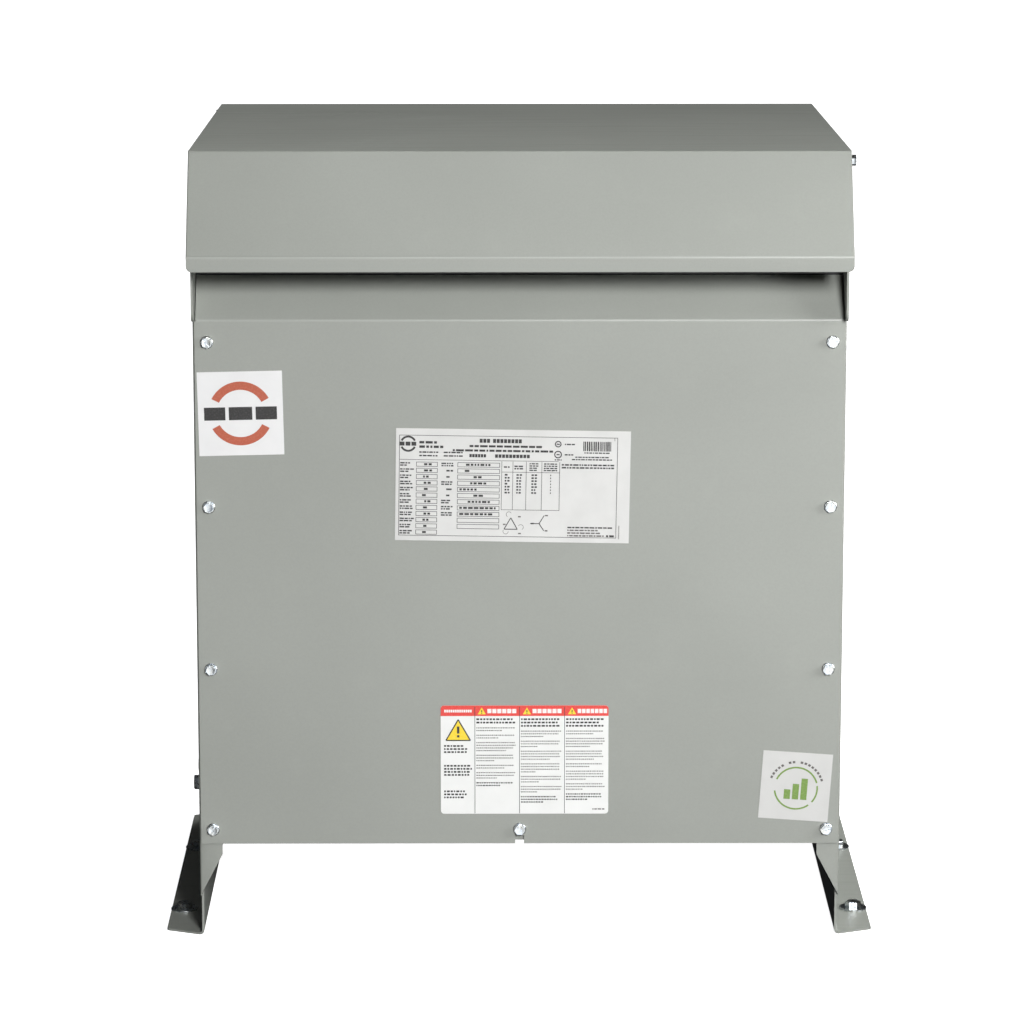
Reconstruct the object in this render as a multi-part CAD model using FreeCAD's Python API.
import FreeCAD, Part
import math
import os

os.makedirs("parts", exist_ok=True)
Vec = FreeCAD.Vector

# Ventilated dry-type transformer, millimetres. The origin is on the floor at the middle of the
# enclosure, +X to the right seen from the front, +Y to the back, +Z up.

# enclosure, overall
body_width = 584.2            # over the side panels
body_depth = 470.0            # over the front and rear panels
panel_bottom = 93.5           # floor to the lower edge of the front and rear panels
bend_height = 577.0           # where a panel folds back under the hood
side_sheet = 2.0
panel_sheet = 1.5
cover_gap = 0.3               # between a removable cover and what it lies on
edge_gap = 0.8                # beside a panel's folded top, inside the side panels

# front and rear panels
panel_inset = 1.6             # from the side panel's outer face to the panel's edge
fold_reach = 24.0             # the folded top: how far back, and how far up
fold_rise = 37.0
notch_width = 8.0
notch_height = 7.5
screw_inset = 12.6            # screw line from the side panel's outer face
screw_low = 13.5              # lowest screw above the panel's lower edge
screw_pitch = 150.0
screws_per_side = 4

# side panels
return_width = 20.8           # return flange beside each panel
ear_reach = 18.0              # the side panel stands this far before the panels, under the hood
ear_radius = 8.0
gusset_tip = 43.5             # the return flange tapers away down the leg
gusset_top = 83.0
leg_setback = 22.6            # leg's edge behind the panel
foot_width = 33.6
foot_miter = 15.0
foot_hole_line = 21.4         # hole line outside the side panel's outer face
foot_front_reach = 100.0      # floor holes, behind the front panel
foot_rear_reach = 311.0
foot_hole_clearance = 0.8

# hood
hood_sheet = 1.5
hood_overlap = 0.4            # hood past the side panels, each side
hood_lap = 1.4                # hood's front and rear edges past the ears
hood_front_height = 730.9
hood_fall = 15.6              # from the hood's front edge to its rear edge
visor_reach = 50.4
lip_clear = 53.3              # lip above the panels' bend
lip_height = 13.4
lip_tuck = 1.0
lip_radius = 5.0
visor_end_gap = 1.5           # between the visor's closed end and the side panel's ear
rail_depth = 24.0
rail_width = 15.0
rail_end_gap = 2.0            # upright flange short of the ears
rail_flat_gap = 24.0          # top flange short of the upright one
hood_screw_setback = 10.4     # behind the hood's front edge
hood_screw_drop = 9.4

# quarter-inch slotted hex washer screws, and plain hex bolts
screw_radius = 3.0
screw_length = 16.0
screw_hex = 8.7
screw_head = 3.9
flange_radius = 5.8
flange_height = 1.2
slot_width = 1.5
slot_depth = 1.4
hole_clearance = 0.3
bolt_radius = 4.0
bolt_hex = 12.7
bolt_head = 5.3
nut_height = 6.5
washer_radius = 12.7
washer_height = 1.6

# floor frame under the core
sill_height = 26.0
sill_depth = 26.0
sill_drop = 2.5               # sill's lower edge above the panel's lower edge
channel_reach = 85.0          # cross channels, behind the panels
channel_width = 40.0
channel_height = 38.0
channel_top = 165.4
frame_sheet = 2.5
rail_line = 118.0             # base rails, from the middle
base_rail_width = 44.0
base_rail_height = 30.0
base_rail_overhang = 25.0     # rail past the cross channels
isolator_size = 44.0
isolator_height = 20.0
isolator_line = 80.0

# core: three limbs, laminated
limb_width = 76.0
phase_gap = 8.0               # between neighbouring coils
window_height = 240.0
core_stack = 100.0
yoke_gap = 2.0                # clamp foot to lower yoke
clamp_sheet = 5.0
clamp_reach = 60.0
clamp_overhang = 22.0         # clamp past the end of the core
clamp_bolt_radius = 5.0
clamp_hex = 16.0
tie_rod_inset = 10.0          # rod line from the clamp flange's edge

# windings, from the limb outwards
former_gap = 2.0
former_wall = 3.0
former_radius = 6.0
low_winding = 12.0
duct = 9.0
high_winding = 14.0
former_end_gap = 4.0
winding_end_gap = 14.0
stick_width = 10.0
front_sticks = (-26.0, 0.0, 26.0)
side_sticks = (-30.0, 30.0)
block_width = 32.0

# terminals and leads
tab_length = 22.0
tab_width = 16.0
tab_sheet = 3.0
tab_spread = 22.0
tab_pitch = 40.0
small_bolt_radius = 3.0       # tap and terminal bolts
small_hex = 10.0
tap_hex = 9.0
lead_radius = 4.0
lead_bend = 8.0
lead_clear = 16.0             # line leads before the terminal boards
lead_landing = 32.0           # where they meet the line bars, above the board's lower edge
lead_inset = 18.0             # leads leave a winding this far from its ends
delta_offset = 34.0           # delta leads beside a phase's middle
delta_step = 8.0              # their upper ends above the line leads
delta_clear = 12.0            # before the tap tabs
outer_delta_clear = 14.0      # the long one, before the line leads
board_sheet = 8.0
board_width = 400.0
bar_width = 25.0
bar_sheet = 5.0
board_height = 60.0
board_bolt_rise = 22.0        # bolt line above a board's lower edge
bracket_sheet = 3.0
bracket_half = 14.0
bracket_foot = 26.0
bracket_height = 38.0
line_bar_rise = 8.0           # line bars above the upper board's lower edge
line_bar_height = 36.0
low_bar_rise = 10.0
neutral_gap = 6.0             # neutral bar behind the coils
neutral_drop = 30.0           # and below the windings
neutral_height = 23.0

# adhesive labels: width, height, middle across, middle up, turn in degrees
label_sheet = 0.3
maker_inset = 42.2            # maker's sticker and efficiency sticker, from the body's sides
efficiency_inset = 40.8
labels = {
    "maker_sticker": (76.2, 76.2, maker_inset - body_width / 2, 492.6, 1.2),
    "rating_label": (210.5, 102.5, -6.3, 426.3, -0.9),
    "safety_label": (152.4, 101.6, 4.5, 172.4, 0.0),
    "efficiency_sticker": (63.5, 63.5, body_width / 2 - efficiency_inset, 147.2, -4.0),
}

# worked out from the above
half_width = body_width / 2
inner_wall = half_width - side_sheet
front = -body_depth / 2
return_front = front + panel_sheet + cover_gap
return_back = return_front + side_sheet
ear_front = front - ear_reach
ear_bottom = bend_height + 0.5
hood_front = ear_front - hood_lap
hood_top_depth = -2 * hood_front
hood_half = half_width + hood_overlap
visor_bend = hood_front - visor_reach
lip_bottom = bend_height + lip_clear
bend_up = lip_bottom + lip_height
hood_rear_height = hood_front_height - hood_fall
hood_slope = hood_fall / hood_top_depth
screw_line = half_width - screw_inset
screen_line = front + fold_reach + 3
channel_line = -front - channel_reach
base_rail_length = 2 * (channel_line + base_rail_overhang)
foot_lines = (front + foot_front_reach, front + foot_rear_reach)
foot_line = half_width + foot_hole_line
foot_hole_radius = bolt_radius + foot_hole_clearance
sill_bottom = panel_bottom + sill_drop
former_out = former_gap + former_wall
low_out = former_out + low_winding
high_in = low_out + duct
high_out = high_in + high_winding
window_width = 2 * high_out + phase_gap
rail_top = channel_top + base_rail_height
foot_top = rail_top + isolator_height + clamp_sheet
yoke_bottom = foot_top + yoke_gap
window_bottom = yoke_bottom + limb_width
window_top = window_bottom + window_height
core_top = window_top + limb_width
upper_flange = core_top + clamp_sheet
phase_pitch = limb_width + window_width
phases = {"a": -phase_pitch, "b": 0.0, "c": phase_pitch}
core_half = phase_pitch + limb_width / 2
stack_half = core_stack / 2
clamp_face = stack_half + clamp_sheet
clamp_edge = stack_half + clamp_reach
clamp_half = core_half + clamp_overhang
end_bolt_line = core_half + clamp_overhang / 2
winding_bottom = window_bottom + winding_end_gap
winding_top = window_top - winding_end_gap
coil_front = stack_half + high_out
small_hole = small_bolt_radius + hole_clearance
board_front = -clamp_edge - bracket_sheet - board_sheet
bracket_line = phase_pitch / 2
lower_board = (foot_top, foot_top + board_height)
upper_board = (upper_flange, upper_flange + board_height - 4)
low_bar_shift = block_width / 2 + 2 + bar_width / 2   # low-voltage bars, beside a phase's middle


def hood_skin(y):
    """Height of the hood's top face."""
    return hood_front_height - hood_slope * (y - hood_front)


def hood_under(y):
    """Height of the hood's underside."""
    return hood_skin(y) - hood_sheet * 1.001


def block(x, y, z):
    """Box between the given low and high values."""
    return Part.makeBox(x[1] - x[0], y[1] - y[0], z[1] - z[0], Vec(x[0], y[0], z[0]))


def rod(start, end, radius):
    """Round bar between two points."""
    axis = Vec(*end) - Vec(*start)
    return Part.makeCylinder(radius, axis.Length, Vec(*start), axis)


def outline(points, offset):
    """Face through the points, swept by the offset vector."""
    corners = [Vec(*p) for p in points]
    return Part.Face(Part.makePolygon(corners + corners[:1])).extrude(Vec(*offset))


def joined(shapes):
    """One solid from pieces that touch or overlap."""
    return shapes[0].fuse(shapes[1:]).removeSplitter()


def save(node, shapes):
    """Write one node, as a group where it has several solids."""
    group = Part.makeCompound(shapes) if len(shapes) > 1 else shapes[0]
    group.exportStep("parts/" + node + ".step")


def mirrored(shape, normal):
    """Copy on the other side of the origin."""
    return shape.mirror(Vec(0, 0, 0), Vec(*normal))


def half_turn(shape):
    """Copy turned half way round the upright axis."""
    copy = shape.copy()
    copy.rotate(Vec(0, 0, 0), Vec(0, 0, 1), 180)
    return copy


def folded_sheet(path, sheet, span):
    """Sheet folded along X: outer face through (y, z) points, metal to the right of the path."""
    normals = []
    for (y0, z0), (y1, z1) in zip(path, path[1:]):
        length = math.hypot(y1 - y0, z1 - z0)
        normals.append(((z1 - z0) / length, -(y1 - y0) / length))
    inner = []
    for i, (y, z) in enumerate(path):
        a = normals[max(i - 1, 0)]
        b = normals[min(i, len(normals) - 1)]
        share = sheet / (1 + a[0] * b[0] + a[1] * b[1])
        inner.append((y + share * (a[0] + b[0]), z + share * (a[1] + b[1])))
    ring = [(span[0], y, z) for y, z in list(path) + inner[::-1]]
    return outline(ring, (span[1] - span[0], 0, 0))


def hexagon(across_flats, height):
    """Upright hexagonal prism on the XY plane."""
    radius = across_flats / math.sqrt(3)
    points = []
    for i in range(6):
        turn = math.radians(60 * i)
        points.append((radius * math.cos(turn), radius * math.sin(turn), 0))
    return outline(points, (0, 0, height))


def placed(shape, position, outward, spin=0.0):
    """Shape built along +Z, turned to point outward and moved to its place."""
    copy = shape.copy()
    copy.rotate(Vec(0, 0, 0), Vec(0, 0, 1), spin)
    turn = FreeCAD.Placement(Vec(*position), FreeCAD.Rotation(Vec(0, 0, 1), Vec(*outward)))
    return copy.transformGeometry(turn.toMatrix())


def washer_screw(length):
    """Slotted hex washer screw: head above z = 0, shank below."""
    flange = Part.makeCylinder(flange_radius, flange_height)
    head = hexagon(screw_hex, flange_height + screw_head)
    shank = Part.makeCylinder(screw_radius, length, Vec(0, 0, -length))
    top = flange_height + screw_head
    slot = block((-screw_hex, screw_hex), (-slot_width / 2, slot_width / 2), (top - slot_depth, top + 1))
    return joined([flange, head, shank]).cut(slot)


def hex_bolt(length, radius=bolt_radius, across=bolt_hex):
    """Hex bolt: head above z = 0, shank below."""
    return joined([hexagon(across, bolt_head), Part.makeCylinder(radius, length, Vec(0, 0, -length))])


def hex_nut(radius=bolt_radius, across=bolt_hex):
    """Nut from z = 0 up, bored to seat on its bolt."""
    return hexagon(across, nut_height).cut(Part.makeCylinder(radius, nut_height))


def panel_screw_places():
    """Screw places on a front or rear panel, as (x, z)."""
    places = [(0.0, panel_bottom + screw_low)]
    for side in (-1, 1):
        for i in range(screws_per_side):
            places.append((side * screw_line, panel_bottom + screw_low + i * screw_pitch))
    return places


def side_wall():
    """Right side panel's flat wall with its ears, swept across the sheet."""
    leg = -(front + leg_setback)
    back = -return_front
    ear = -ear_front
    front_edge = [(-leg, 0), (-leg, gusset_tip), (-back, gusset_tip), (-back, ear_bottom), (-ear, ear_bottom)]
    rear_edge = [(-y, z) for y, z in front_edge[::-1]]
    top_rear = (ear, hood_under(ear) - cover_gap)
    top_front = (-ear, hood_under(-ear) - cover_gap)
    ring = [(inner_wall, y, z) for y, z in front_edge + [top_front, top_rear] + rear_edge]
    wall = outline(ring, (side_sheet, 0, 0))
    lower = [e for e in wall.Edges if is_ear_corner(e)]
    return wall.makeFillet(ear_radius, lower)


def is_ear_corner(edge):
    """True for the lower outer corner of an ear."""
    middle = edge.CenterOfMass
    along_x = abs(edge.Length - side_sheet) < 1e-6
    return along_x and abs(abs(middle.y) + ear_front) < 1e-6 and abs(middle.z - ear_bottom) < 1e-6


def return_flange():
    """Right front return flange, tapering into the leg."""
    inner = half_width - return_width
    ring = [(half_width, return_front, gusset_tip), (inner, return_front, gusset_top),
            (inner, return_front, bend_height - 1), (half_width, return_front, bend_height - 1)]
    return outline(ring, (0, side_sheet, 0))


def foot_flange():
    """Right foot, turned outwards on the floor."""
    leg = -(front + leg_setback)
    outer = half_width + foot_width
    tip = leg - foot_miter
    ring = [(inner_wall, -leg, 0), (outer, -tip, 0), (outer, tip, 0), (inner_wall, leg, 0)]
    return outline(ring, (0, 0, side_sheet))


def foot_holes():
    """Floor holes through the right foot."""
    holes = []
    for y in foot_lines:
        holes.append(rod((foot_line, y, -1), (foot_line, y, side_sheet + 1), foot_hole_radius))
    return holes


def cover_screw_holes():
    """Screw holes through the right return flanges, front and rear."""
    holes = []
    reach = -front + 1
    for x, z in panel_screw_places():
        if x > 0:
            holes.append(rod((x, -reach, z), (x, reach, z), screw_radius + hole_clearance))
    return holes


def channel_bolt_height():
    """Height of the cross channels' end bolts."""
    return channel_top - channel_height / 2


def side_panel(is_left):
    """Right side panel, or the left one with its grounding hole."""
    pieces = [side_wall(), return_flange(), mirrored(return_flange(), (0, 1, 0)), foot_flange()]
    panel = joined(pieces).cut(foot_holes() + cover_screw_holes())
    cuts = []
    for y in (-channel_line, channel_line):
        z = channel_bolt_height()
        cuts.append(rod((inner_wall - 1, y, z), (half_width + 1, y, z), bolt_radius + hole_clearance))
    y, z = hood_screw_place(is_left)
    cuts.append(rod((inner_wall - 1, y, z), (half_width + 1, y, z), screw_radius + hole_clearance))
    if is_left:
        y, z = ground_place()
        cuts.append(rod((inner_wall - 1, y, z), (half_width + 1, y, z), bolt_radius + hole_clearance))
    panel = panel.cut(cuts)
    return mirrored(panel, (1, 0, 0)) if is_left else panel


def hood_screw_place(is_left):
    """Hood screw as (y, z): at the front on the right side panel, at the rear on the left."""
    y = hood_front + hood_screw_setback
    y = -y if is_left else y
    return y, hood_skin(y) - hood_screw_drop


def ground_place():
    """Grounding bolt on the left side panel, as (y, z)."""
    return front + leg_setback - 2.6, channel_bolt_height()


def cover_panel():
    """Front panel: flat face, folded top, notch and screw holes."""
    path = [(front, panel_bottom), (front, bend_height), (front + fold_reach, bend_height + fold_rise)]
    half = half_width - panel_inset
    panel = folded_sheet(path, panel_sheet, (-half, half))
    top_half = inner_wall - edge_gap
    deep = (front - 1, front + fold_reach + 2)
    high = (bend_height - panel_sheet, bend_height + fold_rise + 2)
    cuts = [block((top_half, half + 1), deep, high), block((-half - 1, -top_half), deep, high)]
    thick = (front - 1, front + panel_sheet + 1)
    notch = (-notch_width / 2, notch_width / 2)
    cuts.append(block(notch, thick, (panel_bottom - 1, panel_bottom + notch_height)))
    for x, z in panel_screw_places():
        cuts.append(rod((x, thick[0], z), (x, thick[1], z), screw_radius + hole_clearance))
    return panel.cut(cuts)


def cover_screws():
    """Nine screws of the front panel, their slots at odd angles."""
    screws = []
    for i, (x, z) in enumerate(panel_screw_places()):
        screws.append(placed(washer_screw(screw_length), (x, front, z), (0, -1, 0), 17 + 53 * i))
    return screws


def label(width, height, x, z, turn):
    """Thin label on the front panel."""
    sheet = block((-width / 2, width / 2), (-label_sheet, 0), (-height / 2, height / 2))
    sheet.rotate(Vec(0, 0, 0), Vec(0, 1, 0), -turn)
    sheet.translate(Vec(x, front, z))
    return sheet


def hood_shell():
    """Hood: sloping top, visors with lips front and rear, closed visor ends."""
    lip_front = (visor_bend + lip_tuck, lip_bottom)
    path = [lip_front, (visor_bend, bend_up), (hood_front, hood_front_height),
            (-hood_front, hood_rear_height), (-visor_bend, bend_up), (-lip_front[0], lip_bottom)]
    shell = folded_sheet(path, hood_sheet, (-hood_half, hood_half))
    ends = []
    end_line = ear_front - visor_end_gap
    for reach in (-1, 1):
        top = hood_under(reach * -hood_front) + 0.2
        bend = (reach * -visor_bend, bend_up)
        corner = (reach * -hood_front, top)
        back = reach * -end_line
        ring = [bend, corner, (back, top), (back, lip_bottom), (reach * -lip_front[0], lip_bottom)]
        for side in (-1, 1):
            points = [(side * hood_half, y, z) for y, z in ring]
            ends.append(outline(points, (-side * hood_sheet, 0, 0)))
    depth = (visor_bend - 1, 1 - visor_bend)
    trim = block((-hood_half, hood_half), depth, (lip_bottom, hood_front_height + 1))
    corners = []
    for edge in trim.Edges:
        middle = edge.CenterOfMass
        if abs(middle.z - lip_bottom) < 1e-6 and abs(middle.y) < 1e-6:
            corners.append(edge)
    return joined([shell] + ends).common(trim.makeFillet(lip_radius, corners))


def hood_side_rail(is_left):
    """Rail under the hood top, with a slot open below for the hood screw."""
    outer = inner_wall - cover_gap
    end = -ear_front - rail_end_gap
    ring = [(outer, -end, hood_under(-end)), (outer, end, hood_under(end)),
            (outer, end, hood_under(end) - rail_depth), (outer, -end, hood_under(-end) - rail_depth)]
    upright = outline(ring, (-hood_sheet, 0, 0))
    flat_end = end - rail_flat_gap
    edge = [(outer, y, hood_under(y)) for y in (-flat_end, flat_end)]
    ring = edge + [(x, y, z - hood_sheet) for x, y, z in edge[::-1]]
    flat = outline(ring, (-rail_width, 0, 0))
    y, z = hood_screw_place(is_left)
    radius = screw_radius + hole_clearance
    across = (outer - hood_sheet - 1, outer + 1)
    slot = [rod((across[0], y, z), (across[1], y, z), radius),
            block(across, (y - radius, y + radius), (z - rail_depth, z))]
    rail = joined([upright, flat]).cut(slot)
    return mirrored(rail, (1, 0, 0)) if is_left else rail


def hood_screw(is_left):
    """Hood screw and its nut inside the rail: right front corner, or left rear."""
    y, z = hood_screw_place(is_left)
    side = -1 if is_left else 1
    nut_face = inner_wall - 2 * cover_gap - hood_sheet
    screw = placed(washer_screw(screw_length), (side * half_width, y, z), (side, 0, 0), 35)
    nut = placed(hex_nut(screw_radius, screw_hex), (side * nut_face, y, z), (-side, 0, 0), 10)
    return [screw, nut]


def sill():
    """Front sill: angle behind the panel's lower edge, between the side panels."""
    path = [(return_back + sill_depth, sill_bottom), (return_back, sill_bottom),
            (return_back, sill_bottom + sill_height)]
    strip = folded_sheet(path, panel_sheet, (-inner_wall, inner_wall))
    holes = []
    for x, z in panel_screw_places():
        holes.append(rod((x, return_back - 1, z), (x, return_back + 5, z), screw_radius + hole_clearance))
    return strip.cut(holes)


def slotted(sheet, x_cells, z_cells, cell):
    """Slots cut through a sheet by the given cell maker."""
    cuts = []
    for i in range(x_cells):
        for j in range(z_cells):
            cuts.append(cell(i, j))
    return sheet.cut(cuts)


def vent_screen(y):
    """Vent screen between a panel's folded top and the hood, with its outer face at y."""
    low = bend_height + fold_rise - 20
    shoulder = hood_under(-ear_front) - rail_depth - 2
    high = hood_under(abs(y)) - 1.5
    neck = inner_wall - rail_width - 4
    half = inner_wall
    points = [(-half, low), (half, low), (half, shoulder), (neck, shoulder), (neck, high),
              (-neck, high), (-neck, shoulder), (-half, shoulder)]
    sheet = outline([(x, y, z) for x, z in points], (0, panel_sheet, 0))
    columns = 12
    pitch = 2 * (neck - 10) / columns

    def cell(i, j):
        x = -neck + 10 + (i + 0.5) * pitch
        z = low + 24 + j * 13.0
        return block((x - pitch * 0.4, x + pitch * 0.4), (y - 1, y + panel_sheet + 1), (z, z + 8))

    return slotted(sheet, columns, 6, cell)


def bottom_screen():
    """Slotted floor between the sills."""
    depth = -return_back - panel_sheet
    low = sill_bottom + panel_sheet
    sheet = block((-inner_wall, inner_wall), (-depth, depth), (low, low + panel_sheet))
    columns = 3
    rows = 18
    pitch_x = 2 * (inner_wall - 20) / columns
    pitch_y = 2 * (depth - 30) / rows

    def cell(i, j):
        x = -inner_wall + 20 + (i + 0.5) * pitch_x
        y = -depth + 30 + (j + 0.5) * pitch_y
        wide = (x - pitch_x * 0.44, x + pitch_x * 0.44)
        return block(wide, (y - pitch_y * 0.28, y + pitch_y * 0.28), (low - 1, low + 3))

    return slotted(sheet, columns, rows, cell)


def cross_channel():
    """Front cross channel: upturned U with closed ends bolted to the side panels."""
    half = channel_width / 2
    y = (-channel_line - half, -channel_line + half)
    z = (channel_top - channel_height, channel_top)
    bar = block((-inner_wall, inner_wall), y, z)
    inside = block((-inner_wall + frame_sheet, inner_wall - frame_sheet),
                   (y[0] + frame_sheet, y[1] - frame_sheet), (z[0] - 1, z[1] - frame_sheet))
    bolt_z = channel_bolt_height()
    hole = bolt_radius + hole_clearance
    cuts = [inside, rod((-half_width, -channel_line, bolt_z), (half_width, -channel_line, bolt_z), hole)]
    for x in (-rail_line, rail_line):
        cuts.append(rod((x, -channel_line, z[0]), (x, -channel_line, z[1] + 1), hole))
    return bar.cut(cuts)


def channel_bolts():
    """End bolts of both cross channels, with nuts inside the channels."""
    bolts = []
    z = channel_bolt_height()
    for side in (-1, 1):
        for y in (-channel_line, channel_line):
            bolts.append(placed(hex_bolt(16), (side * half_width, y, z), (side, 0, 0), 12))
            nut_x = side * (inner_wall - frame_sheet)
            bolts.append(placed(hex_nut(), (nut_x, y, z), (-side, 0, 0), 30))
    return bolts


def base_rail():
    """Right base rail: square tube on the cross channels."""
    half = base_rail_width / 2
    x = (rail_line - half, rail_line + half)
    y = (-base_rail_length / 2, base_rail_length / 2)
    tube = block(x, y, (channel_top, rail_top))
    inside = block((x[0] + frame_sheet, x[1] - frame_sheet), (y[0] - 1, y[1] + 1),
                   (channel_top + frame_sheet, rail_top - frame_sheet))
    cuts = [inside]
    hole = bolt_radius + hole_clearance
    for line in (-channel_line, -isolator_line, isolator_line, channel_line):
        cuts.append(rod((rail_line, line, channel_top - 1), (rail_line, line, rail_top + 1), hole))
    return tube.cut(cuts)


def isolator():
    """Rubber block between a base rail and a clamp foot."""
    half = isolator_size / 2
    x = (rail_line - half, rail_line + half)
    y = (-isolator_line - half, -isolator_line + half)
    pad = block(x, y, (rail_top, rail_top + isolator_height))
    low = (rail_line, -isolator_line, rail_top - 1)
    high = (rail_line, -isolator_line, foot_top)
    return pad.cut(rod(low, high, bolt_radius + hole_clearance))


def base_bolts():
    """Bolts and nuts holding one rail to a channel and one clamp foot to the rail."""
    down = (0, 0, -1)
    up = (0, 0, 1)
    long_bolt = hex_bolt(foot_top - channel_top + nut_height + 2)
    rail_bolt = hex_bolt(base_rail_height + frame_sheet + nut_height + 2)
    return [placed(rail_bolt, (rail_line, -channel_line, rail_top), up, 5),
            placed(hex_nut(), (rail_line, -channel_line, channel_top - frame_sheet), down, 20),
            placed(long_bolt, (rail_line, -isolator_line, foot_top), up, 25),
            placed(hex_nut(), (rail_line, -isolator_line, channel_top), down, 40)]


def four_corners(solids):
    """Solids repeated to the four corners of the frame."""
    out = list(solids)
    out += [mirrored(s, (1, 0, 0)) for s in solids]
    out += [mirrored(s, (0, 1, 0)) for s in out]
    return out


def yoke_bolt_places():
    """Clamp bolt lines across: past the ends of the core, and between the phases."""
    inner = phase_pitch / 2
    return (-end_bolt_line, -inner, inner, end_bolt_line)


def core_e_stack():
    """Lower yoke and three limbs of the laminated core."""
    y = (-stack_half, stack_half)
    pieces = [block((-core_half, core_half), y, (yoke_bottom, window_bottom))]
    for x in phases.values():
        pieces.append(block((x - limb_width / 2, x + limb_width / 2), y, (window_bottom, window_top)))
    return joined(pieces).cut(yoke_holes(yoke_bottom + limb_width / 2))


def yoke_holes(z):
    """Clamp bolt holes through the stack at a height."""
    holes = []
    reach = clamp_edge
    for x in yoke_bolt_places():
        holes.append(rod((x, -reach, z), (x, reach, z), clamp_bolt_radius + hole_clearance))
    return holes


def core_top_yoke():
    """Upper yoke, laid on the limbs."""
    yoke = block((-core_half, core_half), (-stack_half, stack_half), (window_top, core_top))
    return yoke.cut(yoke_holes(core_top - limb_width / 2))


def lower_clamp():
    """Front lower clamp: upright leg on the yoke, foot on the isolators."""
    x = (-clamp_half, clamp_half)
    leg = block(x, (-clamp_face, -stack_half), (foot_top - clamp_sheet, window_bottom))
    foot = block(x, (-clamp_edge, -stack_half), (foot_top - clamp_sheet, foot_top))
    cuts = yoke_holes(yoke_bottom + limb_width / 2) + rod_holes()
    for side in (-1, 1):
        low = (side * rail_line, -isolator_line, foot_top - 2 * clamp_sheet)
        high = (side * rail_line, -isolator_line, foot_top + 1)
        cuts.append(rod(low, high, bolt_radius + hole_clearance))
    return joined([leg, foot]).cut(cuts)


def upper_clamp():
    """Front upper clamp: upright leg on the yoke, flange at the top."""
    x = (-clamp_half, clamp_half)
    leg = block(x, (-clamp_face, -stack_half), (window_top, upper_flange))
    flange = block(x, (-clamp_edge, -stack_half), (core_top, upper_flange))
    return joined([leg, flange]).cut(yoke_holes(core_top - limb_width / 2) + rod_holes())


def tie_rod_place():
    """Tie rod beside the coils, in front of them."""
    return end_bolt_line, clamp_edge - tie_rod_inset


def rod_holes():
    """Tie rod holes through the clamp flanges."""
    x, y = tie_rod_place()
    holes = []
    for side in (-1, 1):
        low = (side * x, -y, foot_top - 2 * clamp_sheet)
        high = (side * x, -y, upper_flange + clamp_sheet)
        holes.append(rod(low, high, clamp_bolt_radius + hole_clearance))
    return holes


def tie_rod():
    """Upright tie rod at one corner, with a nut under the foot and one on the top flange."""
    x, y = tie_rod_place()
    foot_low = foot_top - clamp_sheet
    bar = rod((x, -y, foot_low - nut_height - 3), (x, -y, upper_flange + nut_height + 3), clamp_bolt_radius)
    nut = hex_nut(clamp_bolt_radius, clamp_hex)
    low_nut = placed(nut, (x, -y, foot_low), (0, 0, -1), 15)
    high_nut = placed(nut, (x, -y, upper_flange), (0, 0, 1), 40)
    return [bar, low_nut, high_nut]


def clamp_bolts():
    """Bolts through both clamps and the yokes, with nuts behind."""
    bolts = []
    bolt = hex_bolt(2 * clamp_face + nut_height + 3, clamp_bolt_radius, clamp_hex)
    nut = hex_nut(clamp_bolt_radius, clamp_hex)
    for z in (yoke_bottom + limb_width / 2, core_top - limb_width / 2):
        for i, x in enumerate(yoke_bolt_places()):
            bolts.append(placed(bolt, (x, -clamp_face, z), (0, -1, 0), 20 * i))
            bolts.append(placed(nut, (x, clamp_face, z), (0, 1, 0), 25 * i))
    return bolts


def round_block(x, half_x, half_y, radius, z):
    """Block about a phase's middle, with rounded upright corners."""
    body = block((x - half_x, x + half_x), (-half_y, half_y), z)
    corners = [e for e in body.Edges if abs(e.Length - (z[1] - z[0])) < 1e-6 and is_upright(e)]
    return body.makeFillet(radius, corners)


def is_upright(edge):
    """True for an edge that runs up."""
    direction = edge.lastVertex().Point - edge.firstVertex().Point
    return abs(direction.x) + abs(direction.y) < 1e-6


def ring_wall(x, inner, wall, radius, z):
    """Wall of even thickness round a limb, from its inner offset outwards."""
    limb = limb_width / 2
    outer = round_block(x, limb + inner + wall, stack_half + inner + wall, radius + wall, z)
    hole = round_block(x, limb + inner, stack_half + inner, radius, (z[0] - 1, z[1] + 1))
    return outer.cut(hole)


def duct_sticks(x):
    """Upright sticks in the duct between the two windings of one phase."""
    sticks = []
    z = (winding_bottom, winding_top)
    near_y = stack_half + low_out
    near_x = limb_width / 2 + low_out
    for side in (-1, 1):
        for place in front_sticks:
            y = sorted((side * near_y, side * (near_y + duct)))
            sticks.append(block((x + place - stick_width / 2, x + place + stick_width / 2), y, z))
        for place in side_sticks:
            across = sorted((x + side * near_x, x + side * (near_x + duct)))
            sticks.append(block(across, (place - stick_width / 2, place + stick_width / 2), z))
    return sticks


def coil_blocks(z):
    """Six blocks between the clamps and the coil ends, at the given heights."""
    blocks = []
    for x in phases.values():
        for side in (-1, 1):
            y = sorted((side * clamp_face, side * coil_front))
            blocks.append(block((x - block_width / 2, x + block_width / 2), y, z))
    return blocks


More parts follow.
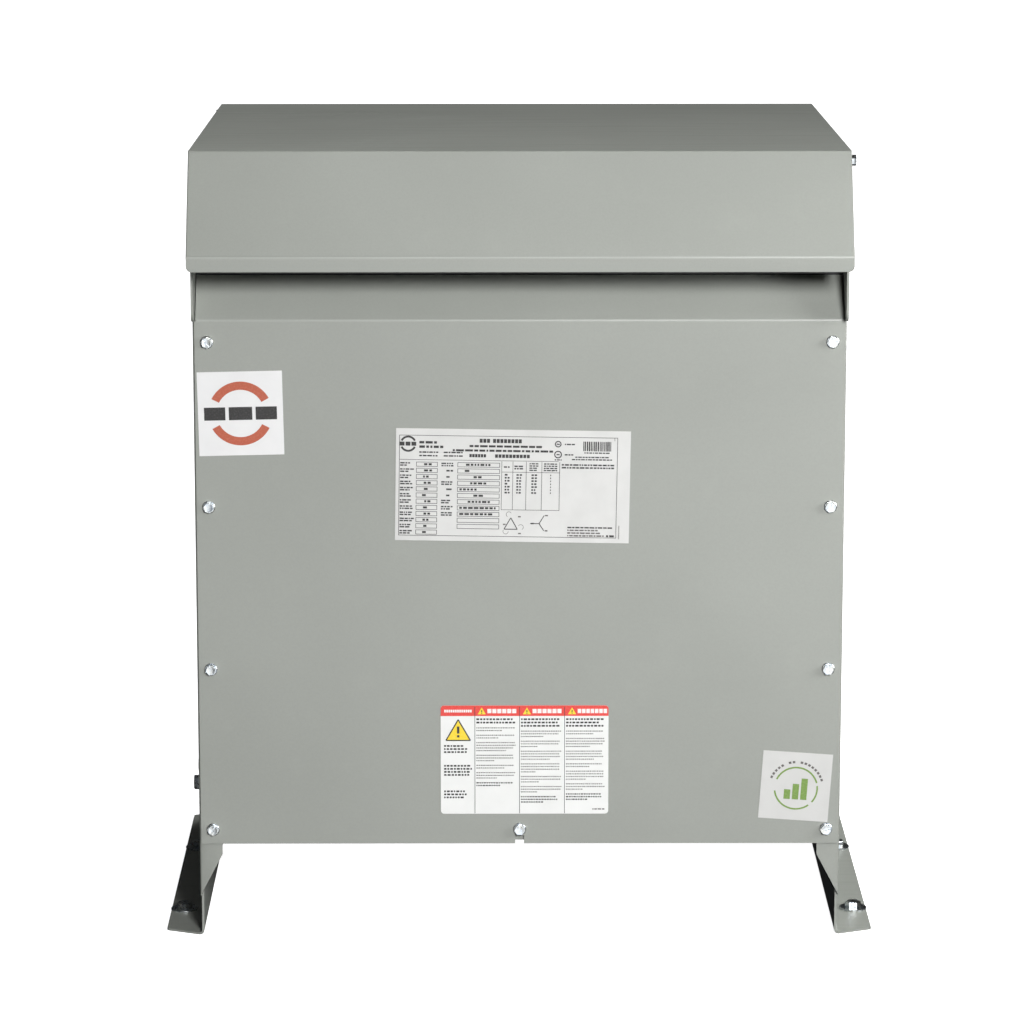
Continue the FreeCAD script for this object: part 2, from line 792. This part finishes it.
def tap_tabs():
    """Tap tabs on the front of each high-voltage winding, and their bolts."""
    tabs = []
    bolts = []
    middle = (winding_bottom + winding_top) / 2
    short_bolt = hex_bolt(2 * tab_sheet + small_bolt_radius, small_bolt_radius, tap_hex)
    nut = hex_nut(small_bolt_radius, tap_hex).common(block((-tap_hex, tap_hex), (-tap_hex, tap_hex), (0, 4)))
    for x in phases.values():
        for side in (-1, 1):
            for row in (-1, 0, 1):
                at = x + side * tab_spread
                z = middle + row * tab_pitch
                y = (-coil_front - tab_length, -coil_front)
                bolt_y = -coil_front - tab_length / 2 - 2
                tab = block((at - tab_width / 2, at + tab_width / 2), y, (z, z + tab_sheet))
                tabs.append(tab.cut(rod((at, bolt_y, z - 1), (at, bolt_y, z + tab_sheet + 1), small_hole)))
                bolts.append(placed(short_bolt, (at, bolt_y, z + tab_sheet), (0, 0, 1), 15 * row))
                bolts.append(placed(nut, (at, bolt_y, z), (0, 0, -1), 20 * row))
    return tabs, bolts


def lead(points):
    """Round insulated lead through the points, bent at its corners."""
    route = [Vec(*p) for p in points]
    edges = []
    start = route[0]
    for before, corner, after in zip(route, route[1:], route[2:]):
        back = (before - corner).normalize()
        on = (after - corner).normalize()
        half_turn_angle = (math.pi - back.getAngle(on)) / 2
        cut = lead_bend * math.tan(half_turn_angle)
        middle = corner + (back + on).normalize() * (lead_bend / math.cos(half_turn_angle) - lead_bend)
        edges.append(Part.makeLine(start, corner + back * cut))
        edges.append(Part.Arc(corner + back * cut, middle, corner + on * cut).toShape())
        start = corner + on * cut
    edges.append(Part.makeLine(start, route[-1]))
    section = Part.Wire(Part.makeCircle(lead_radius, route[0], route[1] - route[0]))
    return Part.Wire(edges).makePipeShell([section], True, False)


def high_voltage_leads():
    """Line leads to the upper board, and the delta links between phases."""
    leads = []
    high = winding_top - lead_inset
    low = winding_bottom + lead_inset
    face = -coil_front
    near = board_front - lead_clear
    bar_z = upper_board[0] + lead_landing
    for x in phases.values():
        path = [(x, face, high), (x, near, high), (x, near, bar_z), (x, board_front - bar_sheet, bar_z)]
        leads.append(lead(path))
    inner = -coil_front - tab_length - delta_clear
    step = high + delta_step
    a, b, c = phases.values()
    for start, end in ((a, b), (b, c)):
        left = start + delta_offset
        right = end - delta_offset
        leads.append(lead([(left, face, low), (left, inner, low), (right, inner, step), (right, face, step)]))
    outer = near - outer_delta_clear
    left = a - delta_offset
    right = c + delta_offset
    leads.append(lead([(right, face, low), (right, outer, low), (left, outer, step), (left, face, step)]))
    return leads


def terminal_board(z):
    """Insulating board with its terminal and fixing holes, between two heights."""
    half = board_width / 2
    board = block((-half, half), (board_front, board_front + board_sheet), z)
    holes = []
    for x, hole_z in board_bolt_places(z[0]):
        holes.append(rod((x, board_front - 1, hole_z), (x, -clamp_edge + 1, hole_z), small_hole))
    return board.cut(holes)


def board_bolt_places(low):
    """Bolts through a board: terminals, and the two brackets."""
    shift = low_bar_shift if low < winding_bottom else 0.0
    lines = [x + shift for x in phases.values()] + [-bracket_line, bracket_line]
    return [(x, low + board_bolt_rise) for x in lines]


def board_brackets():
    """Angle brackets holding the two boards on the clamps."""
    brackets = []
    near = -clamp_edge - bracket_sheet
    for low in (lower_board[0], upper_board[0]):
        for side in (-1, 1):
            line = side * bracket_line
            x = (line - bracket_half, line + bracket_half)
            flat = block(x, (near, bracket_foot - clamp_edge), (low, low + bracket_sheet))
            upright = block(x, (near, -clamp_edge), (low, low + bracket_height))
            z = low + board_bolt_rise
            hole = rod((line, near - 1, z), (line, 1 - clamp_edge, z), small_hole)
            brackets.append(joined([flat, upright]).cut(hole))
    return brackets


def terminal_bolts():
    """Bolts and nuts through the terminal boards."""
    bolts = []
    short_bolt = hex_bolt(3 * board_sheet, small_bolt_radius, small_hex)
    nut = hex_nut(small_bolt_radius, small_hex)
    for low in (lower_board[0], upper_board[0]):
        for x, z in board_bolt_places(low):
            on_bracket = abs(abs(x) - bracket_line) < 1e-6
            head = board_front if on_bracket else board_front - bar_sheet
            tail = -clamp_edge if on_bracket else -clamp_edge - bracket_sheet
            bolts.append(placed(short_bolt, (x, head, z), (0, -1, 0), 10))
            bolts.append(placed(nut, (x, tail, z), (0, 1, 0), 25))
    return bolts


def terminal_hole(x, z):
    """Bolt hole through a bar lying on the front of a board."""
    return rod((x, board_front - bar_sheet - 1, z), (x, board_front + 1, z), small_hole)


def line_terminals():
    """High-voltage line bars on the upper board."""
    bars = []
    low = upper_board[0] + line_bar_rise
    for x in phases.values():
        span = (x - bar_width / 2, x + bar_width / 2)
        bar = block(span, (board_front - bar_sheet, board_front), (low, low + line_bar_height))
        bars.append(bar.cut(terminal_hole(x, upper_board[0] + board_bolt_rise)))
    return bars


def low_voltage_bars():
    """Low-voltage bars: down from the winding, over the lower board, down its front."""
    bars = []
    outer = board_front - bar_sheet
    inner = bar_sheet / 2 - stack_half - former_out - low_winding / 2
    level = lower_board[1] + 3
    for x in phases.values():
        middle = x + low_bar_shift
        span = (middle - bar_width / 2, middle + bar_width / 2)
        riser = block(span, (inner - bar_sheet, inner), (level, winding_bottom))
        over = block(span, (outer, inner), (level, level + bar_sheet))
        drop = block(span, (outer, board_front), (lower_board[0] + low_bar_rise, level + bar_sheet))
        bars.append(joined([riser, over, drop]).cut(terminal_hole(middle, lower_board[0] + board_bolt_rise)))
    return bars


def neutral_bar():
    """Neutral bar behind the coils, joined to the three low-voltage windings."""
    inner = stack_half + former_out + low_winding / 2 - bar_sheet / 2
    level = winding_bottom - neutral_drop
    y_bar = coil_front + neutral_gap
    across = (phases["a"] - bar_width, phases["c"] + low_bar_shift + bar_width / 2)
    depth = (level + bar_sheet - neutral_height, level + bar_sheet)
    pieces = [block(across, (y_bar, y_bar + bar_sheet), depth)]
    for x in phases.values():
        span = (x + low_bar_shift - bar_width / 2, x + low_bar_shift + bar_width / 2)
        pieces.append(block(span, (inner, inner + bar_sheet), (level, winding_bottom)))
        pieces.append(block(span, (inner, y_bar + bar_sheet), (level, level + bar_sheet)))
    return joined(pieces)


def ground_bolt():
    """Grounding bolt through the left side panel, with its nut."""
    y, z = ground_place()
    return [placed(hex_bolt(side_sheet + nut_height), (-half_width, y, z), (-1, 0, 0), 20),
            placed(hex_nut(), (-inner_wall, y, z), (1, 0, 0), 35)]


def ground_strap():
    """Bonding lead from the grounding nut to the lower front clamp."""
    y, z = ground_place()
    start_x = -inner_wall + nut_height + lead_radius
    aside = -clamp_half - 38
    end_x = -clamp_half + 6
    end_y = -stack_half - 25
    over = foot_top + 10
    return lead([(start_x, y, z), (start_x, y, channel_top + 12), (aside, -clamp_edge - 20, over),
                 (end_x, end_y, over), (end_x, end_y, foot_top)])


def foot_screws():
    """Floor screws and their wide washers on the right foot."""
    screws = []
    washers = []
    for i, y in enumerate(foot_lines):
        hole = rod((foot_line, y, 0), (foot_line, y, 10), bolt_radius + hole_clearance)
        disc = rod((foot_line, y, side_sheet), (foot_line, y, side_sheet + washer_height), washer_radius)
        washers.append(disc.cut(hole))
        length = side_sheet + washer_height
        screws.append(placed(hex_bolt(length), (foot_line, y, length), (0, 0, 1), 20 + 30 * i))
    return screws, washers


def both_sides(solids):
    """Solids and their mirror copies on the left."""
    return solids + [mirrored(s, (1, 0, 0)) for s in solids]


# enclosure
save("right_side_panel", [side_panel(False)])
save("left_side_panel", [side_panel(True)])
save("front_panel", [cover_panel()])
save("rear_panel", [half_turn(cover_panel())])
save("front_panel_screws", cover_screws())
save("rear_panel_screws", [half_turn(s) for s in cover_screws()])
for node, size in labels.items():
    save(node, [label(*size)])
save("top_hood", [hood_shell()])
save("hood_side_rails", [hood_side_rail(False), hood_side_rail(True)])
save("hood_screws", hood_screw(False) + hood_screw(True))
save("front_sill", [sill()])
save("rear_sill", [mirrored(sill(), (0, 1, 0))])
save("front_vent_screen", [vent_screen(screen_line)])
save("rear_vent_screen", [mirrored(vent_screen(screen_line), (0, 1, 0))])
save("bottom_screen", [bottom_screen()])
foot_bolts, foot_washers = foot_screws()
save("foot_bolts", both_sides(foot_bolts))
save("foot_washers", both_sides(foot_washers))
save("ground_bolt", ground_bolt())
save("ground_strap", [ground_strap()])

# frame under the core
save("front_cross_channel", [cross_channel()])
save("rear_cross_channel", [mirrored(cross_channel(), (0, 1, 0))])
save("cross_channel_bolts", channel_bolts())
save("right_base_rail", [base_rail()])
save("left_base_rail", [mirrored(base_rail(), (1, 0, 0))])
save("base_bolts", four_corners(base_bolts()))
save("vibration_isolators", four_corners([isolator()]))

# core and clamps
save("core_e_stack", [core_e_stack()])
save("core_top_yoke", [core_top_yoke()])
save("front_lower_clamp", [lower_clamp()])
save("rear_lower_clamp", [mirrored(lower_clamp(), (0, 1, 0))])
save("front_upper_clamp", [upper_clamp()])
save("rear_upper_clamp", [mirrored(upper_clamp(), (0, 1, 0))])
save("clamp_bolts", clamp_bolts())
save("tie_rods", four_corners(tie_rod()))

# windings, one set round each limb
winding_span = (winding_bottom, winding_top)
former_span = (window_bottom + former_end_gap, window_top - former_end_gap)
all_sticks = []
for phase, x in phases.items():
    save("coil_former_" + phase, [ring_wall(x, former_gap, former_wall, former_radius, former_span)])
    low_radius = former_radius + former_wall
    save("low_voltage_winding_" + phase, [ring_wall(x, former_out, low_winding, low_radius, winding_span)])
    high_radius = low_radius + low_winding + duct
    save("high_voltage_winding_" + phase, [ring_wall(x, high_in, high_winding, high_radius, winding_span)])
    all_sticks += duct_sticks(x)
save("duct_sticks", all_sticks)
save("lower_coil_blocks", coil_blocks((foot_top, winding_bottom)))
save("upper_coil_blocks", coil_blocks((winding_top, core_top)))

# terminals
tabs, tab_bolts = tap_tabs()
save("tap_tabs", tabs)
save("tap_bolts", tab_bolts)
save("high_voltage_leads", high_voltage_leads())
save("high_voltage_board", [terminal_board(upper_board)])
save("line_terminals", line_terminals())
save("low_voltage_board", [terminal_board(lower_board)])
save("low_voltage_bars", low_voltage_bars())
save("neutral_bar", [neutral_bar()])
save("board_brackets", board_brackets())
save("terminal_bolts", terminal_bolts())
